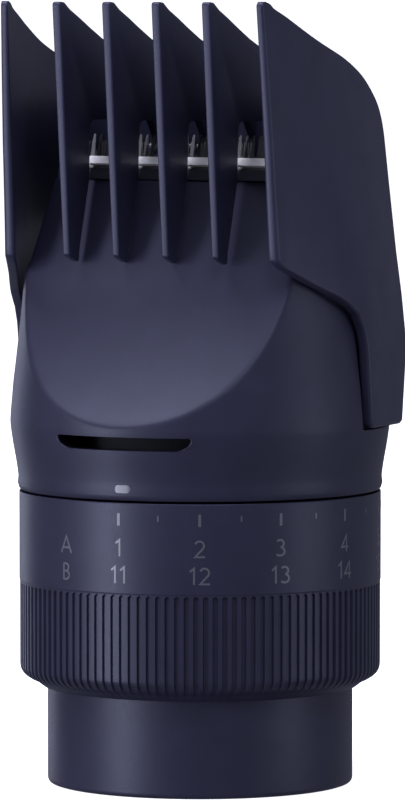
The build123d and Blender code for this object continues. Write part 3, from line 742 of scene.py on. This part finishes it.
def index_mark():
    """The printed pill above the dial that the numbers are read against."""
    half_long, half_tall, height, pill_x = 1.05, 0.48, 38.15, 0.25
    loops = []
    for x in half_long * np.sin(np.linspace(-math.pi / 2, math.pi / 2, 27)):
        into_end = max(0.0, abs(x) - (half_long - half_tall)) / half_tall
        tall = max(half_tall * math.sqrt(max(0.0, 1 - into_end ** 2)), 0.02)
        loop = []
        for y, level in ((-tall, -0.05), (-tall, INK_THICK), (tall, INK_THICK), (tall, -0.05)):
            radius = float(smooth_curve(BARREL, height + y)) + level
            angle = (x + pill_x) / radius
            loop.append((radius * math.sin(angle), -radius * math.cos(angle), height + y))
        loops.append(loop)
    obj = tube_of_loops("index_mark", np.array(loops))
    sharp_by_angle(obj, 30)
    seat(obj, "head", "navy_shell", index_ink)


# ---- comb -------------------------------------------------------------------------------
PLATE_Y = (-19.9, -17.2, -13.2, -10.2, -6.2, -2.6, 2.0, 10.0)
PLATE_LEVELS = [
    (44.0, (18.2, 18.6, 20.3, 21.8, 23.6, 24.1, 24.14, 23.85), 1.5),
    (55.0, (18.2, 18.6, 20.3, 21.8, 23.6, 24.1, 24.14, 24.1), 1.5),
    (61.0, (18.2, 18.6, 20.2, 21.6, 23.1, 23.8, 23.8, 23.3), 1.45),
    (66.0, (18.1, 18.5, 19.9, 20.9, 22.2, 22.8, 23.0, 22.5), 1.4),
    (80.0, (18.0, 18.4, 19.1, 19.7, 20.3, 20.6, 20.8, 20.65), 1.2),
    (98.0, (17.6, 18.1, 18.7, 19.0, 19.3, 19.4, 19.3, 18.9), 0.95),
]
TOP_EDGE = [(97.2, -19.2), (97.0, -18.4), (96.4, -17.4), (95.4, -14.9), (94.3, -12.3), (92.1, -6.7),
            (90.0, -0.2), (88.2, 4.0), (86.2, 7.0), (84.3, 8.9), (82.4, 9.8), (80.3, 10.2)]
REAR_EDGE = [(45.4, 8.3), (54.0, 9.2), (57.0, 9.2), (80.3, 10.2)]
FRONT_EDGE = [(45.4, -1.7), (55.0, -2.8), (57.0, -3.4), (58.9, -4.5), (60.2, -6.1), (61.2, -7.7),
              (62.7, -11.2), (65.0, -16.0), (65.9, -17.2), (97.2, -19.9)]
COMB_TOP = comb_high[2]
COMB_FOOT = comb_low[2]
RIB_X = (-10.05, -3.33, 3.33, 10.05)
RIB_HALF = 0.43
RIB_FOOT = 66.0
RIB_WIDENING = 0.302
FOOT_ROUND = 0.6
TIP_ROUND = 0.7


def plate_x(y, height):
    """X of the right side plate's outer face, and the plate's thickness, at one level."""
    levels = [p[0] for p in PLATE_LEVELS]
    rows = np.array([smooth_curve(list(zip(PLATE_Y, p[1])), y) for p in PLATE_LEVELS])
    k = int(np.clip(np.searchsorted(levels, height) - 1, 0, len(levels) - 2))
    t = (height - levels[k]) / (levels[k + 1] - levels[k])
    thick = np.interp(height, levels, [p[2] for p in PLATE_LEVELS])
    return (1 - t) * rows[k] + t * rows[k + 1], thick


def rear_of(height):
    """Y of the plate's rear edge: the sloping top, then the nearly upright back."""
    if height > TOP_EDGE[-1][0]:
        return float(smooth_curve(TOP_EDGE[::-1], height))
    return float(np.interp(height, *zip(*REAR_EDGE)))


def front_of(height):
    return float(np.interp(height, *zip(*FRONT_EDGE)))


def side_plate(side):
    """Stacked level loops of the flared plate, each with rounded front and rear ends."""
    loops = []
    foot, tip = COMB_FOOT, COMB_TOP
    heights = np.concatenate([
        foot + np.array([0, 0.06, 0.2, 0.45]), np.linspace(foot + 1, 57, 14),
        np.linspace(57.4, 66.1, 34), np.linspace(67, 80, 16), np.linspace(80.6, 96.2, 60),
        tip - np.array([0.8, 0.6, 0.4, 0.22, 0.1, 0.02])])
    for height in heights:
        front, rear = front_of(height), rear_of(height)
        # rounded lower corners of the tab, and the rounded tip
        low = np.clip(1 - (height - foot) / FOOT_ROUND, 0, 1)
        front += FOOT_ROUND * (1 - math.sqrt(1 - low ** 2))
        rear -= FOOT_ROUND * (1 - math.sqrt(1 - low ** 2))
        high = np.clip(1 - (tip - height) / TIP_ROUND, 0, 1)
        front += TIP_ROUND * (1 - math.sqrt(1 - high ** 2))
        rear = max(rear, front + 0.1)
        _, thick = plate_x(np.array([front]), height)
        round_end = min(0.3 * thick, 0.45 * (rear - front))
        ys = front + (rear - front) * (0.5 - 0.5 * np.cos(np.linspace(0, math.pi, 44)))
        outer, _ = plate_x(ys, height)
        # pull the two faces together near the ends so that the edges are round
        near = np.clip(1 - np.minimum(ys - front, rear - ys) / round_end, 0, 1)
        pull = round_end * (1 - np.sqrt(1 - near ** 2))
        shrink = 1 - 0.33 * low ** 2
        middle = outer - thick / 2
        outer_x = middle + (thick / 2 - pull) * shrink
        inner_x = middle - (thick / 2 - pull) * shrink
        loop_x = np.concatenate([outer_x, inner_x[::-1]])
        loop_y = np.concatenate([ys, ys[::-1]])
        loops.append(np.stack([side * loop_x, loop_y, np.full_like(loop_x, height)], axis=-1))
    return tube_of_loops("plate", np.array(loops))


def rib_outline():
    """The inner rib seen from the side, in Y and Z."""
    top = [(float(smooth_curve(TOP_EDGE[::-1], z)), z) for z in
           (96.2, 95.2, 94.0, 92.6, 91.0, 89.2, 87.4, 85.8, 84.4, 83.0, 82.0, 81.0)]
    points = [(-17.1, 66.1), (-19.86, 97.17), (-18.5, 97.05), *top,
              (10.15, 80.0), (9.4, 68.0), (8.4, 68.0), (8.0, 80.0), (6.0, 82.5),
              (-11.4, 82.5), (-11.5, 75.4), (-14.25, 66.6), (-14.3, 65.1)]
    radii = [0.45, 0.7, 0.8] + [0.0] * (len(top) + 1) + [0.3, 0.3, 1.0, 1.5, 1.5, 0.6, 0.5, 0.5]
    return round_corners(points, radii, 6)


def rib(x, outline):
    """An inner rib with rounded edges, a little thicker towards its tip."""
    obj = prism("rib", outline, x - RIB_HALF, x + RIB_HALF, 0.16, steps=4)
    for vertex in obj.data.vertices:
        grow = 1 + RIB_WIDENING * (vertex.co.z / MM - RIB_FOOT) / (COMB_TOP - RIB_FOOT)
        vertex.co.x = x * MM + (vertex.co.x - x * MM) * grow
    return obj


def comb():
    """Two side plates, a cross bar and four ribs as one moulding, recessed for the carrier's pads."""
    outline = rib_outline()
    body = side_plate(1)
    boolean(body, side_plate(-1), "UNION")
    bar = round_corners([(8.4, 68.0), (9.4, 68.0), (10.15, 80.3), (9.7, 82.6), (8.4, 84.6)],
                        [0.3, 0.3, 0.5, 0.8, 0.4], 5)
    boolean(body, prism("bar", bar, -19.6, 19.6, 0.0), "UNION")
    for x in RIB_X:
        boolean(body, rib(x, outline), "UNION")
    for side in (-1, 1):
        shoulder = np.array([(0.0, 50.05), (6.0, 50.05), (6.0, 53.0), (0.0, 53.0)])
        span_x = sorted((side * 22.2, side * 23.4))
        boolean(body, prism("shoulder", shoulder, *span_x, 0.0), "UNION")
        recess = np.array([(-0.2, 43.0), (6.2, 43.0), (6.2, 50.05), (-0.2, 50.05)])
        span_x = sorted((side * 20.5, side * 23.25))
        boolean(body, prism("cut", recess, *span_x, 0.0), "DIFFERENCE")
    body.name = "comb_shell"
    sharp_by_angle(body, 38)
    seat(body, "comb", "navy_comb", comb_navy_painted_light, "comb")


# ---- blade ------------------------------------------------------------------------------
BLADE_Y = -10.3
BLADE_Z = 77.06
BLADE_LEAN = math.radians(14.0)
TOOTH_PITCH = 0.9


def lean(up, out):
    """Y and Z of a point up along the blade's face and out in front of it."""
    return (BLADE_Y + up * math.sin(BLADE_LEAN) - out * math.cos(BLADE_LEAN),
            BLADE_Z + up * math.cos(BLADE_LEAN) + out * math.sin(BLADE_LEAN))


def fixed_blade():
    """Ground plate with tapered teeth whose tips are thinned from behind, and a folded foot."""
    half, root, tip = 13.9, 1.05, 3.9
    count = int(2 * (half - 1) / TOOTH_PITCH)
    first = -(count - 1) / 2 * TOOTH_PITCH
    outline = [(half, -1.15), (half, tip - 0.5), (half - 0.25, tip - 0.2)]
    for i in range(count - 1, -1, -1):
        gap = first + i * TOOTH_PITCH
        outline += [(gap + 0.33, tip - 0.12), (gap + 0.27, tip - 0.4), (gap + 0.19, root + 0.2),
                    (gap + 0.1, root + 0.03), (gap - 0.1, root + 0.03), (gap - 0.19, root + 0.2),
                    (gap - 0.27, tip - 0.4), (gap - 0.33, tip - 0.12)]
        if i:
            outline.append((gap - TOOTH_PITCH / 2, tip))
    outline += [(-half + 0.25, tip - 0.2), (-half, tip - 0.5), (-half, -1.15)]
    points = []
    for depth in (0.0, 1.0):
        for x, up in outline:
            thin = 0.5 if up < root + 0.3 else 0.5 - 0.3 * (up - root - 0.3) / (tip - root - 0.3)
            points.append((x, *lean(up, -depth * thin)))
    number = len(outline)
    faces = [list(range(number))[::-1], list(range(number, 2 * number))]
    faces += [[i, (i + 1) % number, number + (i + 1) % number, number + i] for i in range(number)]
    obj = new_mesh("fixed_blade_ground", points, faces)
    face_outward(obj)
    bm = bmesh.new()
    bm.from_mesh(obj.data)
    bmesh.ops.triangulate(bm, faces=[f for f in bm.faces if len(f.verts) > 4])
    bm.to_mesh(obj.data)
    bm.free()
    back_low = lean(-0.68, -0.5)
    foot = [(lean(-1.1, 0)[0] + 0.05, 75.95), (-4.4, 75.95), (-4.4, 76.4), (back_low[0] - 0.1, 76.4)]
    plate = prism("foot", round_corners(foot, [0.1, 0.1, 0.1, 0.0], 3), -half, half, 0.0)
    opening = round_corners([(-5.7, -8.0), (5.7, -8.0), (5.7, -4.0), (-5.7, -4.0)], 0.5)
    boolean(plate, prism("cut", opening, 75.0, 77.0, 0.0, axis=2), "DIFFERENCE")
    boolean(obj, plate, "UNION")
    sharp_by_angle(obj, 25)
    seat(obj, "head", "blade_steel", blade_steel, "fixed_blade")

    # the matt ground bevel across the front, under the roots of the teeth
    crest = lean(root, 0.02)
    section = [(crest[0] + 0.1, crest[1]), crest, (crest[0] - 0.74, BLADE_Z + 0.14),
               (crest[0] - 0.68, BLADE_Z - 0.08), (crest[0] - 0.1, BLADE_Z - 0.1)]
    bevel = prism("blade_bevel", np.array(section), -half + 0.02, half - 0.02, 0.0)
    sharp_by_angle(bevel, 20)
    seat(bevel, "head", "blade_steel", bevel_steel)


collar()
dial()
scale()
housing()
rinse_baffle()
index_mark()
comb()
fixed_blade()

# the CAD pieces that can be seen past the comb get softened edges
for node in ("blade_base", "blade_yoke", "comb_carrier", "chassis", "shaft_tower"):
    soft_edges = frame["nodes"][node].modifiers.new("soft_edges", "BEVEL")
    soft_edges.width = 0.12 * MM
    soft_edges.segments = 2
    soft_edges.limit_method = "ANGLE"
    soft_edges.angle_limit = math.radians(45)
